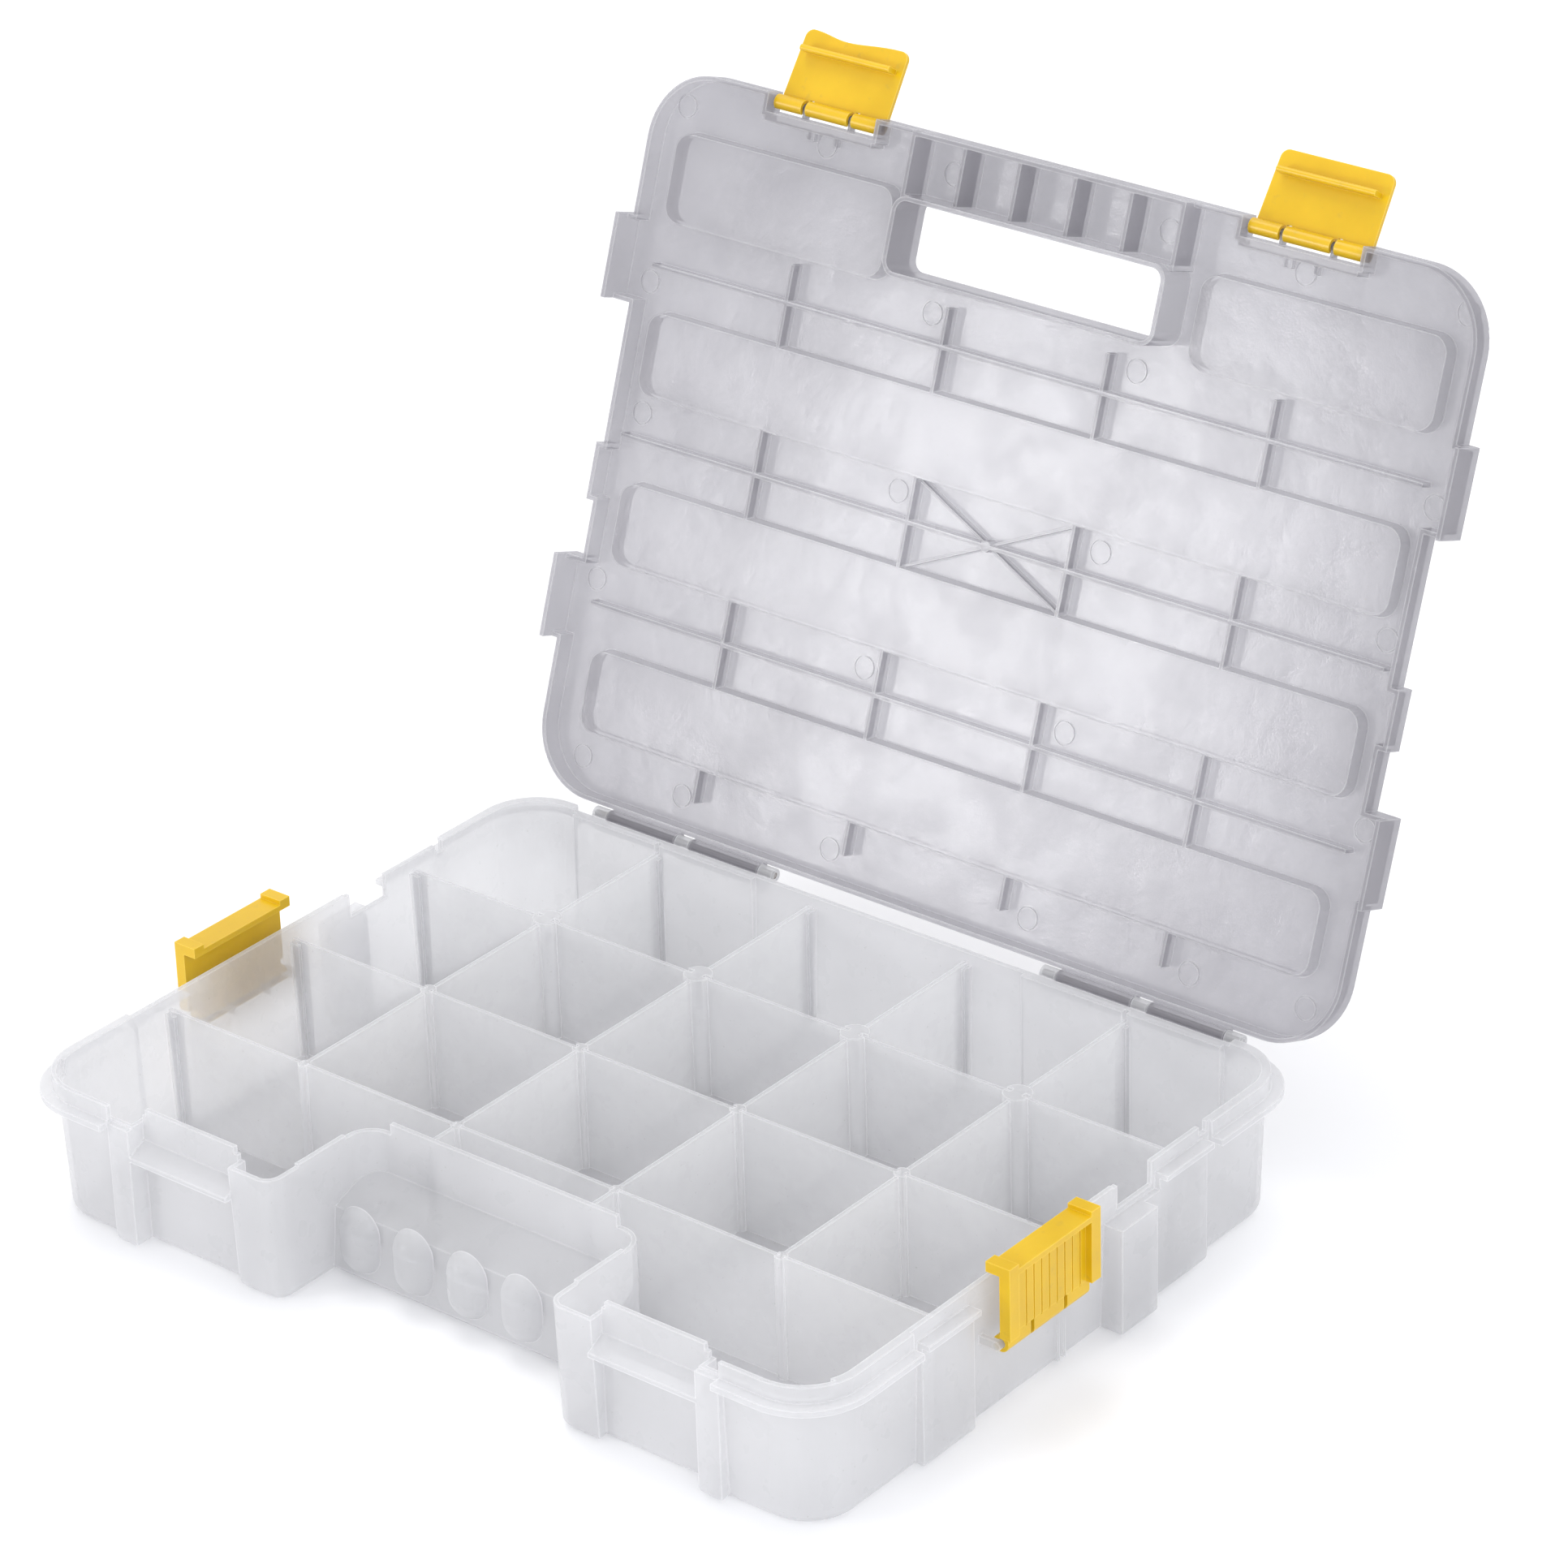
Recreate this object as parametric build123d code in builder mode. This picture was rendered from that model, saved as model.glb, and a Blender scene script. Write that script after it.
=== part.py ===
"""Translucent tackle box: an open tray with lift-out dividers, a hinged lid and four snap latches.

The origin is the middle of the tray's underside.  +X runs along the hinge, to the right seen from the
handle side.  +Y points to the hinge, so the handle faces -Y.  +Z is up.  Millimetres.
"""

import math
import os

from build123d import *

os.makedirs("parts", exist_ok=True)

SIDES = (-1, 1)

# Tray shell
wall = 1.6
floor_t = 1.8
draft_deg = 2.0
body_half_x = 161.4  # outer wall at the rim
body_half_y = 121.4
body_corner_r = 19.0
body_top_z = 45.0
foot_r = 3.5

# Dividers
divider_top_z = 46.0
divider_foot_z = 2.1
column_pitch = 66.0
row_pitch = 60.0
long_t = 1.4
cross_t = 1.2
divider_gap = 0.35
groove_w = 1.9
guide_t = 1.2
guide_depth = 3.2
post_r = {1: 5.0, 0: 2.75, -1: 2.2}  # by row, rear to front
post_web = {1: 2.4, 0: 1.2, -1: 1.0}
post_proud = {1: 0.7, 0: 0.4, -1: 0.0}

# Rim of the tray
flange_half_x = 167.0
flange_half_y = 127.0
flange_r = 24.0
flange_z = (42.7, 45.0)
lip_half_x = 163.0
lip_half_y = 123.0
lip_r = 20.5
lip_top_z = 50.5
side_flange_y = 76.4  # the flange runs from here round each corner
front_flange_x = 126.0
rear_flange_x = 139.0
rear_top_z = 49.4

# Handle bay in the tray's front
bay_half_x = 57.0
bay_back_y = -76.0
bay_corner_r = 8.0
bay_cheek_r = 6.0
bay_rear_rib_top_z = 49.0
shelf_back_z = 30.5
shelf_front_y = -93.0
shelf_front_z = 23.6
bay_foot_y = -95.4
finger_pitch = 22.6
finger_r = 8.4
finger_z = (12.0, 19.6)

# Front latch recesses in the tray
recess_x = (75.0, 117.0)
recess_y = -116.5
ledge_y = -123.5
ledge_z = (33.0, 34.6, 38.5)
front_tab_x = (76.5, 115.5)
front_tab_top_z = 49.6
front_pilaster_y = -123.5

# Side pilasters
pilaster_x = 163.4
shoulder_x = 168.5
snap_ledge_x = 166.3
snap_ledge_z = (43.4, 45.4)

# Hinge along the rear
hinge_y = 130.3
hinge_z = 45.1
hinge_pin_r = 1.2
hinge_bore_r = 1.26
knuckle_r = 2.5
hinge_x = (57.0, 137.0)
tray_knuckles = ((57.0, 63.0), (94.0, 100.0), (131.0, 137.0))
lid_knuckles = ((63.4, 93.6), (100.4, 130.6))

# Lid, described closed on the tray and then swung open
lid_open_deg = 109.5
lid_half_x = 168.4
lid_front_y = -128.4
lid_rear_y = 127.4
lid_corner_r = 25.0
lid_rim_z = 45.4
lid_in_z = 52.6
lid_top_z = 54.2
lid_rib_z = 47.4
lid_side_x = 163.4  # outline between the side tabs
lid_tab_x = 172.4
lid_tab_y = (45.5, 75.5)
lid_tab_z = 40.4
lid_stop_x = 166.6
lid_stop_y = (4.6, 25.0)
lid_notch_x = (74.6, 120.6)
lid_notch_y = -121.6
lid_rib_t = 1.4
rib_end_x = 158.3

# Lid handle
window_half_x = 54.0
window_y = (-105.5, -81.5)
tunnel_z = 37.0
grip_z = 40.5
grip_rib_x = (-33.9, -11.3, 11.3, 33.9)

# Lid panels, sunk from outside so that they stand down to the divider tops
panel_z = 47.4
panels = (
    (0.0, 155.0, -44.5, -15.5),
    (0.0, 153.5, 15.5, 44.5),
    (0.0, 153.5, 75.5, 104.5),
)
corner_panel_x = (63.0, 157.0)
corner_panel_y = (-107.0, -76.0)
panel_r = 6.0

# Latches
latch_bar_r = 1.5
latch_bore_r = 1.58
clip_mouth = 2.5  # opening of the snap-on clips
front_mouth_deg = 105.0  # the front latches' clips open upwards when they hang closed
front_latch_x = 97.6
front_axis_y = -125.2
front_axis_z = 50.8
front_latch_half = 22.3
front_latch_length = 27.0
front_latch_rest_deg = 105.0
front_clip_r = 2.7
front_clips = ((-22.3, -10.7), (-8.9, 8.9), (10.7, 22.3))
side_axis_x = 167.5
side_axis_z = 30.0
side_latch_y = -19.5
side_latch_half = 23.0
side_clip_r = 2.9
side_clips = ((-20.6, -9.3), (-7.5, 7.5), (9.3, 20.6))
side_plate_x = (169.0, 170.6)
side_border_x = 173.0
side_arm_x = 163.9
side_arm_z = (55.4, 57.4)


def box(x0, x1, y0, y1, z0, z1, mode=Mode.ADD):
    """A block between two corners."""
    with Locations(((x0 + x1) / 2, (y0 + y1) / 2, (z0 + z1) / 2)):
        Box(abs(x1 - x0), abs(y1 - y0), abs(z1 - z0), mode=mode)


def both(x0, x1, y0, y1, z0, z1, mode=Mode.ADD):
    """The same block on the left and on the right."""
    for side in SIDES:
        box(side * x0, side * x1, y0, y1, z0, z1, mode)


def bar_x(x0, x1, y, z, radius, mode=Mode.ADD):
    """A round bar along X."""
    with Locations(Pos((x0 + x1) / 2, y, z)):
        Cylinder(radius, abs(x1 - x0), rotation=(0, 90, 0), mode=mode)


def bar_y(x, y0, y1, z, radius, mode=Mode.ADD):
    """A round bar along Y."""
    with Locations(Pos(x, (y0 + y1) / 2, z)):
        Cylinder(radius, abs(y1 - y0), rotation=(90, 0, 0), mode=mode)


def inner_half(half, z):
    """Half the distance between two drafted walls inside the tray, at height z."""
    return half - wall - (body_top_z - z) * math.tan(math.radians(draft_deg))


def shell(half_x, half_y, radius, z0, z1, mode=Mode.ADD):
    """A rounded rectangular block whose walls lean out with the mould draft, full size at the rim."""
    inset = (body_top_z - z0) * math.tan(math.radians(draft_deg))
    with BuildSketch(Plane.XY.offset(z0)) as plan:
        RectangleRounded(2 * (half_x - inset), 2 * (half_y - inset), radius - inset)
    extrude(plan.sketch, amount=z1 - z0, taper=-draft_deg, mode=mode)


def ring(outer, inner, z0, z1):
    """A rounded rectangular ring; outer and inner are (half_x, half_y, radius)."""
    with BuildSketch(Plane.XY.offset(z0)) as plan:
        RectangleRounded(2 * outer[0], 2 * outer[1], outer[2])
        RectangleRounded(2 * inner[0], 2 * inner[1], inner[2], mode=Mode.SUBTRACT)
    extrude(plan.sketch, amount=z1 - z0)


def bay_block(spread, z0, z1, mode=Mode.ADD):
    """The handle bay's plan, open to the front and rounded behind, spread outwards by a wall."""
    with BuildSketch(Plane.XY.offset(z0)) as plan:
        with Locations((0, bay_back_y + spread - 50)):
            RectangleRounded(2 * (bay_half_x + spread), 100, bay_corner_r + spread)
    extrude(plan.sketch, amount=z1 - z0, mode=mode)


def pin_hole(side):
    """Where a hinge block's hole starts and ends along X, a little past the outer knuckles."""
    return side * (hinge_x[0] - 1), side * (hinge_x[1] + 1)


def near(edge, x, y):
    """True for an upright edge that passes close to (+-x, y)."""
    middle = edge.center()
    return abs(abs(middle.X) - x) < 1.5 and abs(middle.Y - y) < 1.5


def save(part, name):
    part.label = name
    export_step(part, f"parts/{name}.step")


# ---------------------------------------------------------------- tray
body = (body_half_x, body_half_y, body_corner_r)
wall_inside = (body_half_x - wall, body_half_y - wall, body_corner_r - wall)
wall_middle = (body_half_x - wall / 2, body_half_y - wall / 2, body_corner_r - wall / 2)

with BuildPart() as tray_outside:
    shell(*body, 0, body_top_z)
    for side in SIDES:
        box(side * recess_x[0], side * recess_x[1], -140, recess_y, -1, 60, Mode.SUBTRACT)
    bay_block(0, -1, 60, Mode.SUBTRACT)
    fillet(tray_outside.edges().filter_by(lambda e: near(e, bay_half_x, -120.7)), bay_cheek_r)
    both(recess_x[1], front_flange_x, front_pilaster_y, recess_y, 0, 44.4)
    both(155, pilaster_x, -73.2, -47.8, 0, snap_ledge_z[0])
    both(155, pilaster_x, 47.8, 73.2, 0, snap_ledge_z[0])
    both(155, pilaster_x, 39.5, 47.8, 0, 39.5)
    both(155, shoulder_x, 21.0, 39.5, 0, 39.5)
    fillet(tray_outside.edges().group_by(Axis.Z)[0], foot_r)
    with BuildSketch(Plane.YZ.offset(-bay_half_x)):
        with BuildLine():
            Polyline(
                (bay_back_y, 0),
                (bay_back_y, shelf_back_z),
                (shelf_front_y, shelf_front_z),
                (bay_foot_y, 2.5),
                (bay_foot_y + 2.5, 0),
                close=True,
            )
        make_face()
    extrude(amount=2 * bay_half_x)

# The cavity, with the handle bay and the latch recesses left standing in it
with BuildPart() as cavity:
    shell(*wall_inside, floor_t, 60)
    bay_block(wall, 0, 70, Mode.SUBTRACT)
    fillet(cavity.edges().filter_by(lambda e: near(e, bay_half_x + wall, -119.1)), bay_cheek_r - wall)
    both(recess_x[0] - wall, recess_x[1] + wall, -140, recess_y + wall, 0, 70, Mode.SUBTRACT)

# Finger pads across the front of the shelf
with BuildPart() as finger_pads:
    for i in range(-2, 3):
        for z in finger_z:
            with Locations((i * finger_pitch, bay_foot_y + 3.6, z)):
                Sphere(finger_r)
        with Locations((i * finger_pitch, bay_foot_y + 3.6, sum(finger_z) / 2)):
            Cylinder(finger_r, finger_z[1] - finger_z[0])
    box(-70, 70, bay_foot_y + 1.4, -60, 0, 60, Mode.SUBTRACT)

# Wall tops above the rim
with BuildPart() as coaming:
    ring(body, wall_inside, body_top_z - 1, lip_top_z)
    box(-200, 200, -140, -110, 40, 60, Mode.SUBTRACT)
    both(150, 170, 28.0, 46.0, 40, 60, Mode.SUBTRACT)
    both(150, 170, 26.0, 75.0, 50.0, 60, Mode.SUBTRACT)
    both(150, 170, 71.4, 75.4, 46.8, 60, Mode.SUBTRACT)
    box(-rear_flange_x, rear_flange_x, 110, 130, rear_top_z, 60, Mode.SUBTRACT)

# Flange and raised lip round the corners
with BuildPart() as corner_rim:
    ring((flange_half_x, flange_half_y, flange_r), wall_middle, *flange_z)
    ring((lip_half_x, lip_half_y, lip_r), body, flange_z[0] + 0.5, lip_top_z)
    box(-200, 200, -side_flange_y, side_flange_y, 0, 70, Mode.SUBTRACT)
    box(-front_flange_x, front_flange_x, -140, 0, 0, 70, Mode.SUBTRACT)
    box(-rear_flange_x, rear_flange_x, 0, 140, 0, 70, Mode.SUBTRACT)

with BuildPart() as base_tray:
    add(tray_outside.part)
    add(cavity.part, mode=Mode.SUBTRACT)

    # Hollow under the finger shelf and inside the shoulders, open below
    box(-bay_half_x + wall, bay_half_x - wall, bay_foot_y + 2 * wall, bay_back_y, 0, 20, Mode.SUBTRACT)
    both(body_half_x + 0.2, shoulder_x - wall, 21.0 + wall, 39.5 - wall, 0, 37.5, Mode.SUBTRACT)

    add(finger_pads.part)
    add(coaming.part)
    both(154, 170, 28.0, 46.0, 41.5, 60, Mode.SUBTRACT)
    add(corner_rim.part)

    # Front: latch ledges, wall tabs behind them, bay rim
    for side in SIDES:
        with BuildSketch(Plane.YZ.offset(side * recess_x[0])):
            with BuildLine():
                Polyline(
                    (recess_y + 0.4, ledge_z[0]),
                    (recess_y + 0.4, ledge_z[2]),
                    (ledge_y, ledge_z[1]),
                    (ledge_y, ledge_z[0]),
                    close=True,
                )
            make_face()
        extrude(amount=side * (recess_x[1] - recess_x[0]))
    both(front_tab_x[0], front_tab_x[1], recess_y, recess_y + wall, 40, front_tab_top_z)
    both(front_tab_x[0] - 1.4, front_tab_x[1] + 1.4, recess_y, recess_y + wall, 40, 47.2)
    box(-47, 47, bay_back_y, bay_back_y + wall, 40, bay_rear_rib_top_z)
    box(-47, 47, bay_back_y, bay_back_y + wall, 40, divider_top_z)
    for side in SIDES:
        box(side * bay_half_x, side * (bay_half_x + wall), -108, bay_back_y - 10, 40, divider_top_z)

    # Snap ledges on the side pilasters
    both(body_half_x - 0.2, snap_ledge_x, -73.2, -47.8, *snap_ledge_z)
    both(body_half_x - 0.2, snap_ledge_x, 47.8, 73.2, *snap_ledge_z)

    # Rear wall thickened behind each hinge block, on either side of the outer long divider's end
    outer_column = 1.5 * column_pitch
    slot_half = groove_w / 2
    for side in SIDES:
        for x0, x1 in ((hinge_x[0], outer_column - slot_half), (outer_column + slot_half, hinge_x[1])):
            box(side * x0, side * x1, 117.6, body_half_y - 0.8, 1.0, rear_top_z)

    # Guides that hold the dividers' ends
    for column in (-1.5, -0.5, 0.5, 1.5):
        for hand in SIDES:
            x = column * column_pitch + hand * (groove_w + guide_t) / 2
            box(x - guide_t / 2, x + guide_t / 2, 120.4 - guide_depth - 1.6, 120.4, 1, 45)
            if abs(column) == 0.5:
                box(x - guide_t / 2, x + guide_t / 2, bay_back_y + 1, bay_back_y + wall + 2.4, 1, 45)
    for row in (-1, 0, 1):
        for hand in SIDES:
            y = row * row_pitch + hand * (groove_w + guide_t) / 2
            both(160.4 - guide_depth - 1.6, 160.4, y - guide_t / 2, y + guide_t / 2, 1, 45)

    # Hinge ledge, brackets and knuckles
    for side in SIDES:
        box(side * hinge_x[0], side * hinge_x[1], 120.6, 126.2, 41.6, 44.4)
        for x0, x1 in tray_knuckles:
            box(side * x0, side * x1, 120.6, hinge_y, 42.6, hinge_z)
            bar_x(side * x0, side * x1, hinge_y, hinge_z, knuckle_r)
        bar_x(*pin_hole(side), hinge_y, hinge_z, hinge_pin_r, Mode.SUBTRACT)

    # Bars and fins that carry the side latches
    for side in SIDES:
        y0 = side_latch_y - side_latch_half
        y1 = side_latch_y + side_latch_half
        bar_y(side * side_axis_x, y0, y1, side_axis_z, latch_bar_r)
        for a, b in ((-22.9, -21.0), (-8.9, -7.9), (7.9, 8.9), (21.0, 22.9)):
            box(
                side * (body_half_x - 1.5),
                side * side_axis_x,
                side_latch_y + a,
                side_latch_y + b,
                side_axis_z - latch_bar_r,
                side_axis_z + latch_bar_r,
            )
save(base_tray.part, "base_tray")

# ---------------------------------------------------------------- hinge pins
with BuildPart() as hinge_pins:
    for side in SIDES:
        bar_x(side * (hinge_x[0] + 0.2), side * (hinge_x[1] - 0.2), hinge_y, hinge_z, hinge_pin_r)
save(hinge_pins.part, "hinge_pins")

# ---------------------------------------------------------------- dividers
front_row_y = -row_pitch
back_of_bay_y = bay_back_y + wall
tallest = divider_top_z - divider_foot_z

for number, column in enumerate((-1.5, -0.5, 0.5, 1.5), start=1):
    x = column * column_pitch
    with BuildPart() as long_divider:
        rear_top = inner_half(body_half_y, divider_top_z) - divider_gap
        rear_foot = inner_half(body_half_y, divider_foot_z) - divider_gap
        if abs(column) == 0.5:
            front_end = back_of_bay_y + divider_gap
        else:
            front_end = front_row_y
        with BuildSketch(Plane.YZ.offset(x - long_t / 2)):
            with BuildLine():
                Polyline(
                    (front_end, divider_foot_z),
                    (front_end, divider_top_z),
                    (rear_top, divider_top_z),
                    (rear_foot, divider_foot_z),
                    close=True,
                )
            make_face()
        extrude(amount=long_t)
        for row in (1, 0, -1):
            with BuildSketch(Plane.XY.offset(divider_foot_z)):
                with Locations((x, row * row_pitch)):
                    Circle(post_r[row])
                    for hand in SIDES:
                        with Locations((hand * (post_web[row] + 5), 0)):
                            Rectangle(10, groove_w, mode=Mode.SUBTRACT)
            extrude(amount=tallest + post_proud[row])
    save(long_divider.part, f"long_divider_{number}")

row_names = {1: "rear", 0: "middle", -1: "front"}
for row, row_name in row_names.items():
    for number in range(1, 6):
        left = (number - 3.5) * column_pitch + post_web[row] + divider_gap
        right = (number - 2.5) * column_pitch - post_web[row] - divider_gap
        left_foot = left
        right_foot = right
        if number == 1:
            left = -inner_half(body_half_x, divider_top_z) + divider_gap
            left_foot = -inner_half(body_half_x, divider_foot_z) + divider_gap
        if number == 5:
            right = inner_half(body_half_x, divider_top_z) - divider_gap
            right_foot = inner_half(body_half_x, divider_foot_z) - divider_gap
        with BuildPart() as cross_divider:
            with BuildSketch(Plane.XZ.offset(-row * row_pitch - cross_t / 2)):
                with BuildLine():
                    Polyline(
                        (left_foot, divider_foot_z),
                        (left, divider_top_z),
                        (right, divider_top_z),
                        (right_foot, divider_foot_z),
                        close=True,
                    )
                make_face()
            extrude(amount=cross_t)
        save(cross_divider.part, f"{row_name}_divider_{number}")


# ---------------------------------------------------------------- lid
def lid_outline(inset):
    """The lid's plan, moved inwards all round by inset."""
    middle_y = (lid_front_y + lid_rear_y) / 2
    half_y = (lid_rear_y - lid_front_y) / 2
    with Locations((0, middle_y)):
        RectangleRounded(2 * (lid_half_x - inset), 2 * (half_y - inset), lid_corner_r - inset)
    for side in SIDES:
        with Locations((side * (lid_side_x - inset + 10), 0)):
            Rectangle(20, 2 * (lid_tab_y[0] + inset), mode=Mode.SUBTRACT)
        for end in SIDES:
            with Locations((side * (lid_tab_x - inset - 6), end * (lid_tab_y[0] + lid_tab_y[1]) / 2)):
                Rectangle(12, lid_tab_y[1] - lid_tab_y[0] - 2 * inset)
        stop_y = (lid_stop_y[0] + lid_stop_y[1]) / 2
        with Locations((side * (lid_stop_x - inset - 4), stop_y)):
            Rectangle(8, lid_stop_y[1] - lid_stop_y[0] - 2 * inset)
        with Locations((side * front_latch_x, lid_notch_y + inset - 10)):
            Rectangle(lid_notch_x[1] - lid_notch_x[0] + 2 * inset, 20, mode=Mode.SUBTRACT)


def panel(x_mid, x_half, y0, y1):
    """A sunk panel: a shallow tray pressed down from the lid's outer face."""
    size = (2 * x_half, y1 - y0)
    with BuildSketch(Plane.XY.offset(panel_z)) as plan:
        with Locations((x_mid, (y0 + y1) / 2)):
            RectangleRounded(*size, panel_r)
    extrude(plan.sketch, amount=lid_in_z - panel_z, taper=-8)


def panel_hollow(x_mid, x_half, y0, y1):
    """The space in the outer face above a sunk panel."""
    size = (2 * (x_half - 1.0), y1 - y0 - 2.0)
    with BuildSketch(Plane.XY.offset(panel_z + wall)) as plan:
        with Locations((x_mid, (y0 + y1) / 2)):
            RectangleRounded(*size, panel_r - 1.0)
    extrude(plan.sketch, amount=lid_top_z - panel_z - wall, taper=-8, mode=Mode.SUBTRACT)


all_panels = list(panels)
for side in SIDES:
    corner_mid = side * (corner_panel_x[0] + corner_panel_x[1]) / 2
    corner_half = (corner_panel_x[1] - corner_panel_x[0]) / 2
    all_panels.append((corner_mid, corner_half, *corner_panel_y))

gaps = ((-73.4, -44.0), (-16.0, 16.0), (44.0, 76.0), (104.0, 116.4))
mid_ribs_y = (-60.0, 0.0, 60.0)
brace_half_x = column_pitch / 2 - lid_rib_t / 2
ejector_marks = (
    (159.0, -115.5),
    (161.5, -53.5),
    (154.5, -8.5),
    (42.0, -69.5),
    (42.0, -8.5),
    (161.0, 52.5),
    (42.0, 53.0),
    (42.0, 117.0),
    (107.5, 116.5),
    (153.0, 114.6),
    (44.0, -116.5),
    (97.6, -114.6),
)

with BuildPart() as closed_lid:
    # Top plate and the skirt that stands on the tray's flange
    with BuildSketch(Plane.XY.offset(lid_in_z)):
        lid_outline(0)
    extrude(amount=lid_top_z - lid_in_z)
    fillet(closed_lid.edges().group_by(Axis.Z)[-1], 1.2)
    with BuildSketch(Plane.XY.offset(lid_rim_z)):
        lid_outline(0)
    extrude(amount=lid_in_z - lid_rim_z + 0.2)
    with BuildSketch(Plane.XY.offset(lid_rim_z)):
        lid_outline(wall)
    extrude(amount=lid_in_z - lid_rim_z, mode=Mode.SUBTRACT)

    # Side tabs reach down over the tray's snap ledges
    for side in SIDES:
        for end in SIDES:
            y0 = end * lid_tab_y[0]
            y1 = end * lid_tab_y[1]
            box(side * (lid_tab_x - wall), side * lid_tab_x, y0, y1, lid_tab_z, lid_rim_z + 1)

    # Sunk panels
    for spec in all_panels:
        panel(*spec)
    for spec in all_panels:
        panel_hollow(*spec)

    # Ribs that close off the compartments above the dividers
    for y in mid_ribs_y:
        box(-rib_end_x, rib_end_x, y - lid_rib_t / 2, y + lid_rib_t / 2, lid_rib_z, lid_in_z + 0.5)
    for column in (-1.5, -0.5, 0.5, 1.5):
        x = column * column_pitch
        for y0, y1 in gaps:
            box(x - lid_rib_t / 2, x + lid_rib_t / 2, y0, y1, lid_rib_z, lid_in_z + 0.5)

    # Diagonal braces and a centre stud over the plain oval badge area
    brace_deg = math.degrees(math.atan2(15.0, brace_half_x))
    brace_length = 2 * math.hypot(15.0, brace_half_x)
    for angle in (brace_deg, -brace_deg):
        with Locations(Pos(0, 0, (lid_rib_z + lid_in_z) / 2 + 1.0)):
            Box(brace_length, 0.9, lid_in_z - lid_rib_z - 1.6, rotation=(0, 0, angle))
    with BuildSketch(Plane.XY.offset(lid_rib_z)):
        Circle(2.0)
    extrude(amount=lid_in_z - lid_rib_z)
    with BuildSketch(Plane.XY.offset(lid_top_z - 0.6)):
        Ellipse(25.0, 9.5)
    extrude(amount=1.0, mode=Mode.SUBTRACT)

    # Handle: grip channel, window tunnel and finger ribs
    with BuildSketch(Plane.XY.offset(tunnel_z)):
        with Locations((0, (window_y[0] + window_y[1]) / 2)):
            RectangleRounded(
                2 * (window_half_x + wall), window_y[1] - window_y[0] + 2 * wall, 4.0 + wall
            )
    extrude(amount=lid_in_z - tunnel_z + 0.5)
    box(-window_half_x - wall, window_half_x + wall, lid_front_y, window_y[0], grip_z, lid_in_z + 0.5)
    grip_y = (lid_front_y + wall, window_y[0] - wall)
    box(-window_half_x, window_half_x, *grip_y, 0, lid_in_z, Mode.SUBTRACT)
    for x in grip_rib_x:
        box(x - 0.8, x + 0.8, lid_front_y + 1, window_y[0] - 1, grip_z + 0.8, lid_in_z + 0.5)
    with BuildSketch(Plane.XY.offset(tunnel_z - 1)):
        with Locations((0, (window_y[0] + window_y[1]) / 2)):
            RectangleRounded(2 * window_half_x, window_y[1] - window_y[0], 4.0)
    extrude(amount=lid_top_z - tunnel_z + 3, mode=Mode.SUBTRACT)

    # Seats, bars and fins for the front latches
    for side in SIDES:
        x0 = side * lid_notch_x[0]
        x1 = side * lid_notch_x[1]
        box(x0, x1, lid_notch_y, lid_notch_y + 3.2, lid_rim_z, lid_in_z + 0.5)
        bar_x(x0 - side, x1 + side, front_axis_y, front_axis_z, latch_bar_r)
        for a, b in ((-10.3, -9.3), (9.3, 10.3)):
            mid = side * front_latch_x
            y0 = front_axis_y
            z0 = front_axis_z - latch_bar_r
            box(mid + a, mid + b, y0, lid_notch_y + 0.5, z0, front_axis_z + latch_bar_r)
        for a, b in ((-7.5, -4.5), (4.0, 5.4)):
            mid = side * front_latch_x
            box(mid + a, mid + b, lid_notch_y + 3.0, lid_notch_y + 6.6, lid_in_z - 2.2, lid_in_z + 0.5)

    # Ejector pin marks inside the top plate
    for x, y in ejector_marks:
        for side in SIDES:
            with Locations((side * x, y, lid_in_z)):
                Cylinder(4.2, 0.5, mode=Mode.SUBTRACT)
                Cylinder(3.8, 0.5, mode=Mode.ADD)

    # Hinge knuckles on arms from the rear skirt
    for side in SIDES:
        for x0, x1 in lid_knuckles:
            box(side * x0, side * x1, lid_rear_y - wall, hinge_y, lid_rim_z + 0.2, hinge_z + 3.2)
            bar_x(side * x0, side * x1, hinge_y, hinge_z, knuckle_r)
        bar_x(*pin_hole(side), hinge_y, hinge_z, hinge_bore_r, Mode.SUBTRACT)

hinge_axis = Axis((0, hinge_y, hinge_z), (1, 0, 0))
lid_open = closed_lid.part.rotate(hinge_axis, -lid_open_deg)
with BuildPart() as lid:
    add(lid_open)
save(lid.part, "lid")


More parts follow.
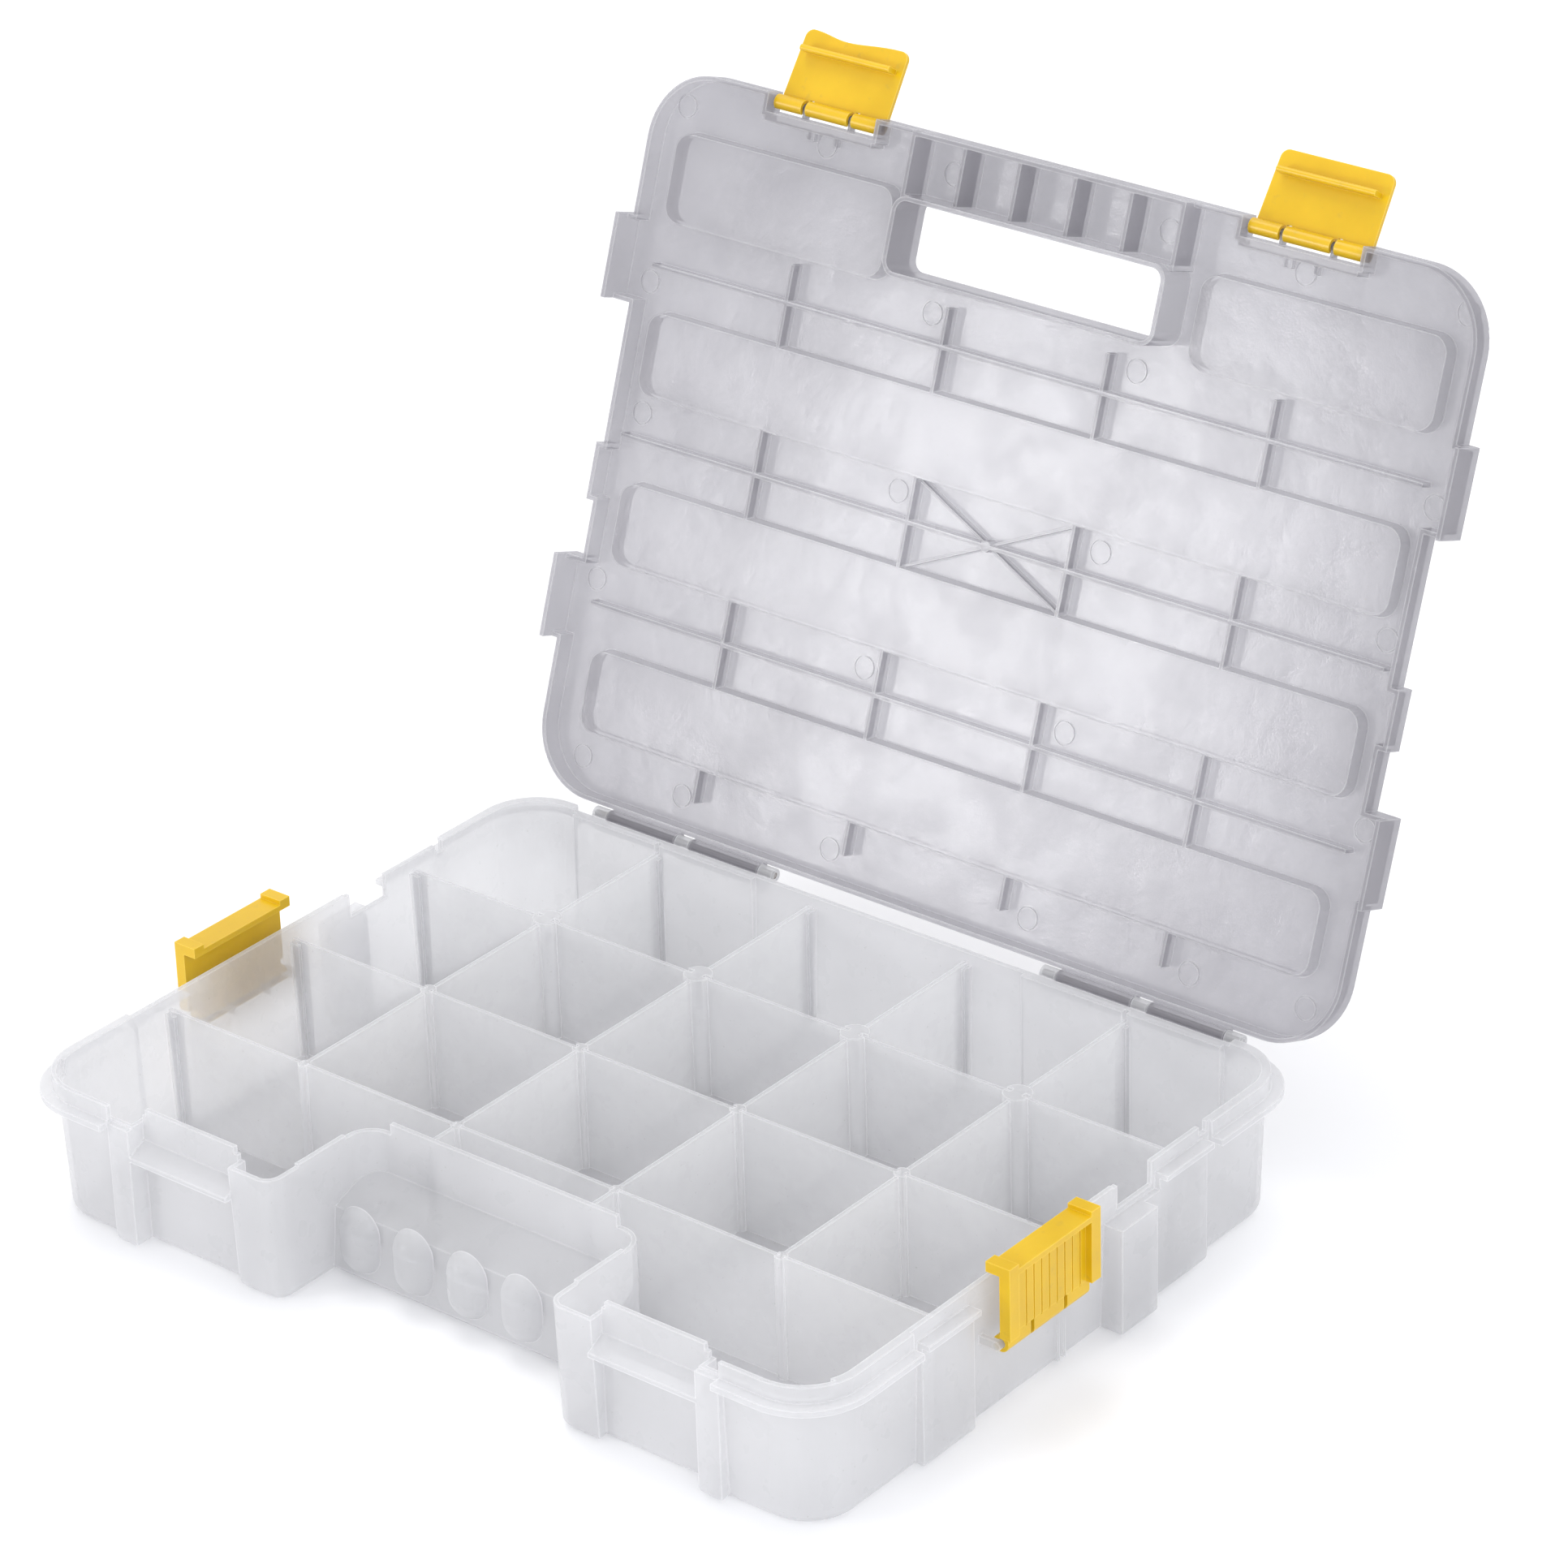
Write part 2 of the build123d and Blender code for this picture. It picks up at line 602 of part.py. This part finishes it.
# ---------------------------------------------------------------- front latches
def front_latch(side, wavy):
    """A latch hanging closed over the tray's front, before it is flipped open."""
    x_mid = side * front_latch_x
    y_in = front_axis_y - 1.2
    y_out = y_in - 1.5
    foot_z = front_axis_z - front_latch_length
    with BuildPart() as latch:
        with BuildSketch(Plane.XZ.offset(-y_in)):
            with BuildLine():
                top_left = (x_mid - front_latch_half, front_axis_z)
                low_left = (x_mid - front_latch_half + 0.6, foot_z + 3.0)
                foot_left = (x_mid - front_latch_half + 3.4, foot_z)
                foot_right = (x_mid + front_latch_half - 3.4, foot_z)
                low_right = (x_mid + front_latch_half - 0.6, foot_z + 3.0)
                top_right = (x_mid + front_latch_half, front_axis_z)
                Polyline(top_left, low_left)
                ThreePointArc(low_left, (x_mid - front_latch_half + 1.5, foot_z + 0.9), foot_left)
                if wavy:
                    Spline(
                        foot_left,
                        (x_mid - 6.0, foot_z + 1.5),
                        (x_mid + 5.0, foot_z + 0.9),
                        foot_right,
                        tangents=((1, 0), (1, 0)),
                    )
                else:
                    Polyline(foot_left, foot_right)
                ThreePointArc(foot_right, (x_mid + front_latch_half - 1.5, foot_z + 0.9), low_right)
                Polyline(low_right, top_right, top_left)
            make_face()
        extrude(amount=y_in - y_out)
        # Stiffening curl along the free end and the rib that hooks under the tray's ledge
        box(x_mid - 19.0, x_mid + 19.0, y_in, y_in + 3.4, 30.4, 32.2)
        bar_x(x_mid - 19.0, x_mid + 19.0, y_in + 3.6, 31.3, 1.1)
        for x0, x1 in front_clips:
            bar_x(x_mid + x0, x_mid + x1, front_axis_y, front_axis_z, front_clip_r)
        bar_x(
            x_mid - front_latch_half - 1,
            x_mid + front_latch_half + 1,
            front_axis_y,
            front_axis_z,
            latch_bore_r,
            Mode.SUBTRACT,
        )
        for x0, x1 in ((-10.7, -8.9), (8.9, 10.7)):
            box(x_mid + x0, x_mid + x1, y_out - 1, 0, front_axis_z - 3.2, 60, Mode.SUBTRACT)
        with Locations(Location((x_mid, front_axis_y, front_axis_z), (front_mouth_deg, 0, 0))):
            Box(60, 8, clip_mouth, align=(Align.CENTER, Align.MIN, Align.CENTER), mode=Mode.SUBTRACT)
    return latch.part


front_axis = Axis((0, front_axis_y, front_axis_z), (1, 0, 0))
for side, name in ((-1, "front_latch_left"), (1, "front_latch_right")):
    flipped = front_latch(side, side < 0).rotate(front_axis, -front_latch_rest_deg)
    with BuildPart() as opened_latch:
        add(flipped.rotate(hinge_axis, -lid_open_deg))
    save(opened_latch.part, name)


# ---------------------------------------------------------------- side latches
for side, name in ((-1, "side_latch_left"), (1, "side_latch_right")):
    y_mid = side_latch_y
    y0 = y_mid - side_latch_half
    y1 = y_mid + side_latch_half
    with BuildPart() as side_latch:
        # Grooved thumb plate, hooking arm and end flanges
        box(side * side_plate_x[0], side * side_plate_x[1], y0, y1, 33.6, side_arm_z[1])
        box(side * side_arm_x, side * side_border_x, y0, y1, *side_arm_z)
        for end in SIDES:
            edge = y_mid + end * side_latch_half
            inner = edge - end * 4.6
            box(side * side_plate_x[0], side * side_border_x, inner, edge, 33.6, side_arm_z[1])
            box(side * side_arm_x, side * side_border_x, inner, edge, side_arm_z[0], 59.0)
        for x0, x1 in side_clips:
            bar_y(side * side_axis_x, y_mid + x0, y_mid + x1, side_axis_z, side_clip_r)
            box(side * 168.0, side * 170.4, y_mid + x0, y_mid + x1, side_axis_z, 34.2)
        bar_y(side * side_axis_x, y0 - 1, y1 + 1, side_axis_z, latch_bore_r, Mode.SUBTRACT)
        mouth_z = (side_axis_z - clip_mouth / 2, side_axis_z + clip_mouth / 2)
        box(side * 160, side * side_axis_x, y0 - 1, y1 + 1, *mouth_z, Mode.SUBTRACT)
        for i in range(-4, 5):
            y = y_mid + i * 3.9
            groove_x = (side * (side_plate_x[1] - 0.4), side * 172.0)
            box(*groove_x, y - 0.3, y + 0.3, 33.0, 54.9, Mode.SUBTRACT)
    save(side_latch.part, name)
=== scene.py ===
"""Scene for the translucent tackle box: materials, soft studio light, floor and camera."""

import math

import bpy
from mathutils import Euler, Matrix, Vector

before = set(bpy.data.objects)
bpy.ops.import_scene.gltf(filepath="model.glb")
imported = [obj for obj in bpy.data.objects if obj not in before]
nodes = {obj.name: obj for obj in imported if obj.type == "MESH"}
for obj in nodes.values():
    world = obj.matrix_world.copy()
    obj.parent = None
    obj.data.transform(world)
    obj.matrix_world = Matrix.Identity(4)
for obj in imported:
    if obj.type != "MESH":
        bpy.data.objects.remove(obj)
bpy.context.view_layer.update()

# Noise values mostly lie between these two, so spans over them use a noise's whole swing
noise_low, noise_high = 0.3, 0.7
plastic_ior = 1.49
plastic_specular = 0.6
speck_colour = (0.42, 0.38, 0.32, 1.0)
# Near-white painted onto the edges of the thin plastic parts as a painted highlight along their rims
edge_highlight_white = (0.98, 0.98, 0.99, 1.0)

softening_angle_deg = 40
latch_softening = 0.0006
wall_softening = 0.0003

floor_size = 40.0
floor_gap = 0.0005  # the floor lies this far below the tray, so the two faces never flicker

world_colour = (0.98, 0.985, 1.0, 1.0)
world_strength = 1.02

# Camera fitted to the photograph: place in metres, then its turns about x, y and z in degrees
camera_place = (1.09078, -1.247481, 1.0068)
camera_turns_deg = (62.6637, 1.5988, 38.8430)
camera_lens = 136.9
camera_sensor = 36.0


# ---------------------------------------------------------------- node helpers
class Graph:
    """Adds and links shader nodes of one material."""

    def __init__(self, name):
        self.material = bpy.data.materials.new(name)
        self.material.use_nodes = True
        self.tree = self.material.node_tree
        self.tree.nodes.clear()

    def add(self, kind, **inputs):
        node = self.tree.nodes.new(kind)
        self.fill(node, inputs)
        return node

    def fill(self, node, inputs):
        for key, value in inputs.items():
            socket = node.inputs[key.replace("_", " ")]
            if isinstance(value, bpy.types.NodeSocket):
                self.tree.links.new(value, socket)
            else:
                socket.default_value = value

    def link(self, start, end):
        self.tree.links.new(start, end)

    def noise(self, coordinate, scale, detail=3.0, roughness=0.55):
        node = self.add("ShaderNodeTexNoise", Scale=scale, Detail=detail, Roughness=roughness)
        self.link(coordinate, node.inputs["Vector"])
        return node.outputs["Fac"]

    def span(self, value, low, high, to_low=0.0, to_high=1.0):
        node = self.add("ShaderNodeMapRange")
        node.interpolation_type = "SMOOTHSTEP"
        self.link(value, node.inputs["Value"])
        node.inputs["From Min"].default_value = low
        node.inputs["From Max"].default_value = high
        node.inputs["To Min"].default_value = to_low
        node.inputs["To Max"].default_value = to_high
        return node.outputs["Result"]

    def math(self, operation, first, second):
        node = self.tree.nodes.new("ShaderNodeMath")
        node.operation = operation
        for socket, value in zip(node.inputs, (first, second)):
            if isinstance(value, bpy.types.NodeSocket):
                self.link(value, socket)
            else:
                socket.default_value = value
        return node.outputs[0]

    def blend(self, factor, first, second):
        node = self.tree.nodes.new("ShaderNodeMix")
        node.data_type = "RGBA"
        for name, value in (("Factor", factor), ("A", first), ("B", second)):
            socket = [s for s in node.inputs if s.name == name and s.enabled][0]
            if isinstance(value, bpy.types.NodeSocket):
                self.link(value, socket)
            else:
                socket.default_value = value
        return [s for s in node.outputs if s.enabled][0]

    def bump(self, height, distance, strength=1.0, normal=None):
        node = self.add("ShaderNodeBump", Strength=strength, Distance=distance)
        self.link(height, node.inputs["Height"])
        if normal is not None:
            self.link(normal, node.inputs["Normal"])
        return node.outputs["Normal"]

    def object_space(self):
        return self.add("ShaderNodeTexCoord").outputs["Object"]

    def edges(self, radius):
        """0 on flat faces, rising on edges within radius, from a bevelled normal."""
        bevel = self.add("ShaderNodeBevel", Radius=radius)
        bevel.samples = 4
        geometry = self.add("ShaderNodeNewGeometry")
        dot = self.tree.nodes.new("ShaderNodeVectorMath")
        dot.operation = "DOT_PRODUCT"
        self.link(bevel.outputs["Normal"], dot.inputs[0])
        self.link(geometry.outputs["Normal"], dot.inputs[1])
        return self.span(dot.outputs["Value"], 0.995, 0.82)

    def output(self, shader):
        node = self.add("ShaderNodeOutputMaterial")
        self.link(shader, node.inputs["Surface"])
        return self.material


def thin_plastic(name, tint, milk, gloss, clear, haze_scale, glow_share, through_tint):
    """Thin translucent polypropylene: part haze, which light behind it lights up, part see-through.

    tint and milk are the two ends of its cloudy colour, and haze_scale sets how fine the clouds are.
    gloss is about its mean roughness. clear is its see-through share, and through_tint colours what
    shows through. glow_share is the part of the haze that passes light on.
    """
    g = Graph(name)
    at = g.object_space()
    clouds = g.noise(at, haze_scale, 4.0)
    flow = g.noise(at, haze_scale * 7.0, 3.0)
    fine = g.noise(at, 1400.0, 2.0)
    dust = g.span(g.noise(at, 900.0, 2.0), 0.70, 0.78)
    edge = g.edges(0.0009)
    colour = g.blend(g.span(clouds, noise_low, noise_high), tint, milk)
    colour = g.blend(g.math("MULTIPLY", dust, 0.35), colour, speck_colour)
    # painted highlight: edges blended towards near-white, standing in for light catching the rims
    colour = g.blend(g.math("MULTIPLY", edge, 0.4), colour, edge_highlight_white)
    polish = g.span(flow, noise_low, noise_high, gloss - 0.05, gloss + 0.08)
    rough = g.math("ADD", polish, g.math("MULTIPLY", edge, 0.12))
    normal = g.bump(fine, 0.00006, 0.5)
    normal = g.bump(flow, 0.0005, 0.35, normal)
    skin = g.add("ShaderNodeBsdfPrincipled")
    g.fill(skin, {"Base_Color": colour, "Roughness": rough, "Normal": normal, "IOR": plastic_ior})
    skin.inputs["Specular IOR Level"].default_value = plastic_specular
    glow = g.add("ShaderNodeBsdfTranslucent", Color=colour, Normal=normal)
    haze = g.add("ShaderNodeMixShader", Fac=glow_share)
    g.link(skin.outputs[0], haze.inputs[1])
    g.link(glow.outputs[0], haze.inputs[2])
    through = g.add("ShaderNodeBsdfTransparent", Color=through_tint)
    shut = g.math("MULTIPLY", edge, 0.5)
    open_share = g.span(clouds, 0.25, 0.75, clear * 0.85, clear * 1.1)
    fade = g.math("MULTIPLY", open_share, g.math("SUBTRACT", 1.0, shut))
    mix = g.add("ShaderNodeMixShader", Fac=fade)
    g.link(haze.outputs[0], mix.inputs[1])
    g.link(through.outputs[0], mix.inputs[2])
    return g.output(mix.outputs[0])


def yellow_plastic():
    """Opaque yellow polypropylene with light, rubbed edges and a little dirt."""
    g = Graph("latch_yellow")
    at = g.object_space()
    clouds = g.noise(at, 40.0, 4.0)
    fine = g.noise(at, 1800.0, 2.0)
    dirt = g.span(g.noise(at, 260.0, 5.0), 0.60, 0.74)
    edge = g.edges(0.0006)
    shade = g.span(clouds, noise_low, noise_high)
    colour = g.blend(shade, (0.62, 0.385, 0.003, 1.0), (0.69, 0.44, 0.005, 1.0))
    colour = g.blend(g.math("MULTIPLY", dirt, 0.25), colour, (0.40, 0.27, 0.05, 1.0))
    colour = g.blend(g.math("MULTIPLY", edge, 0.45), colour, (0.97, 0.74, 0.12, 1.0))
    polish = g.span(clouds, noise_low, noise_high, 0.28, 0.40)
    rough = g.math("ADD", polish, g.math("MULTIPLY", edge, 0.15))
    normal = g.bump(fine, 0.00005, 0.5)
    skin = g.add("ShaderNodeBsdfPrincipled")
    g.fill(skin, {"Base_Color": colour, "Roughness": rough, "Normal": normal, "IOR": plastic_ior})
    skin.inputs["Subsurface Weight"].default_value = 0.08
    skin.inputs["Subsurface Scale"].default_value = 0.002
    return g.output(skin.outputs[0])


def steel():
    """Drawn steel wire with brownish stains."""
    g = Graph("pin_steel")
    at = g.object_space()
    fine = g.noise(at, 2500.0, 3.0)
    stain = g.span(g.noise(at, 180.0, 4.0), 0.55, 0.75)
    colour = g.blend(stain, (0.55, 0.55, 0.56, 1.0), (0.34, 0.30, 0.27, 1.0))
    polish = g.span(fine, noise_low, noise_high, 0.22, 0.36)
    rough = g.math("ADD", polish, g.math("MULTIPLY", stain, 0.2))
    normal = g.bump(fine, 0.00003, 0.4)
    skin = g.add("ShaderNodeBsdfPrincipled", Metallic=1.0)
    g.fill(skin, {"Base_Color": colour, "Roughness": rough, "Normal": normal})
    return g.output(skin.outputs[0])


def floor_material():
    """Plain pale matt floor."""
    g = Graph("studio_floor")
    at = g.object_space()
    clouds = g.noise(at, 2.0, 3.0)
    colour = g.blend(clouds, (0.86, 0.86, 0.87, 1.0), (0.90, 0.90, 0.91, 1.0))
    rough = g.span(clouds, noise_low, noise_high, 0.55, 0.65)
    skin = g.add("ShaderNodeBsdfPrincipled")
    g.fill(skin, {"Base_Color": colour, "Roughness": rough})
    return g.output(skin.outputs[0])


# ---------------------------------------------------------------- materials
tray_look = thin_plastic(
    "tray_milky",
    tint=(0.76, 0.76, 0.77, 1.0),
    milk=(0.86, 0.86, 0.87, 1.0),
    gloss=0.30,
    clear=0.46,
    haze_scale=12.0,
    glow_share=0.55,
    through_tint=(0.94, 0.94, 0.945, 1.0),
)
divider_look = thin_plastic(
    "divider_milky",
    tint=(0.87, 0.87, 0.88, 1.0),
    milk=(0.95, 0.95, 0.96, 1.0),
    gloss=0.30,
    clear=0.66,
    haze_scale=15.0,
    glow_share=0.60,
    through_tint=(0.985, 0.985, 0.985, 1.0),
)
lid_look = thin_plastic(
    "lid_clear",
    tint=(0.41, 0.40, 0.425, 1.0),
    milk=(0.50, 0.49, 0.515, 1.0),
    gloss=0.12,
    clear=0.46,
    haze_scale=8.0,
    glow_share=0.55,
    through_tint=(0.89, 0.89, 0.905, 1.0),
)
latch_look = yellow_plastic()
pin_look = steel()

for name, piece in nodes.items():
    if name == "lid":
        look = lid_look
    elif name == "base_tray":
        look = tray_look
    elif "divider" in name:
        look = divider_look
    elif "latch" in name:
        look = latch_look
    else:
        look = pin_look
    piece.data.materials.clear()
    piece.data.materials.append(look)
    soften = piece.modifiers.new("soft_edges", "BEVEL")
    soften.width = latch_softening if "latch" in name else wall_softening
    soften.segments = 2
    soften.limit_method = "ANGLE"
    soften.angle_limit = math.radians(softening_angle_deg)
    soften.harden_normals = False

# ---------------------------------------------------------------- floor and light
bpy.ops.mesh.primitive_plane_add(size=floor_size, location=(0, 0, -floor_gap))
floor = bpy.context.object
floor.name = "studio_floor"
floor.data.materials.append(floor_material())

world = bpy.data.worlds.new("studio")
bpy.context.scene.world = world
world.use_nodes = True
background = world.node_tree.nodes["Background"]
background.inputs["Color"].default_value = world_colour
background.inputs["Strength"].default_value = world_strength


def softbox(name, place, target, size, watts, colour):
    """A rectangular area light at place that points at target."""
    data = bpy.data.lights.new(name, "AREA")
    data.shape = "RECTANGLE"
    data.size, data.size_y = size
    data.energy = watts
    data.color = colour
    light = bpy.data.objects.new(name, data)
    light.location = place
    light.rotation_euler = (Vector(target) - Vector(place)).to_track_quat("-Z", "Y").to_euler()
    bpy.context.collection.objects.link(light)


softbox("key", (-0.5, 0.25, 1.9), (0, 0, 0.05), (1.0, 1.0), 10.0, (1.0, 0.985, 0.96))
softbox("fill", (1.6, -1.0, 0.9), (0, 0, 0.1), (1.2, 1.0), 11.0, (0.93, 0.96, 1.0))
softbox("back", (0.2, 1.6, 1.4), (0, 0.1, 0.1), (1.6, 0.9), 7.0, (1.0, 1.0, 1.0))
softbox("lid_sheen", (-1.25, -1.75, 0.42), (0, 0.18, 0.18), (0.35, 0.5), 12.0, (1.0, 1.0, 1.0))

bpy.context.scene.view_settings.view_transform = "Standard"

# ---------------------------------------------------------------- camera
camera_data = bpy.data.cameras.new("photo_camera")
camera_data.lens = camera_lens
camera_data.sensor_width = camera_sensor
camera_data.clip_end = 50.0
camera = bpy.data.objects.new("photo_camera", camera_data)
turns = Euler([math.radians(turn) for turn in camera_turns_deg])
camera.matrix_world = Matrix.LocRotScale(Vector(camera_place), turns, None)
bpy.context.collection.objects.link(camera)
bpy.context.scene.camera = camera
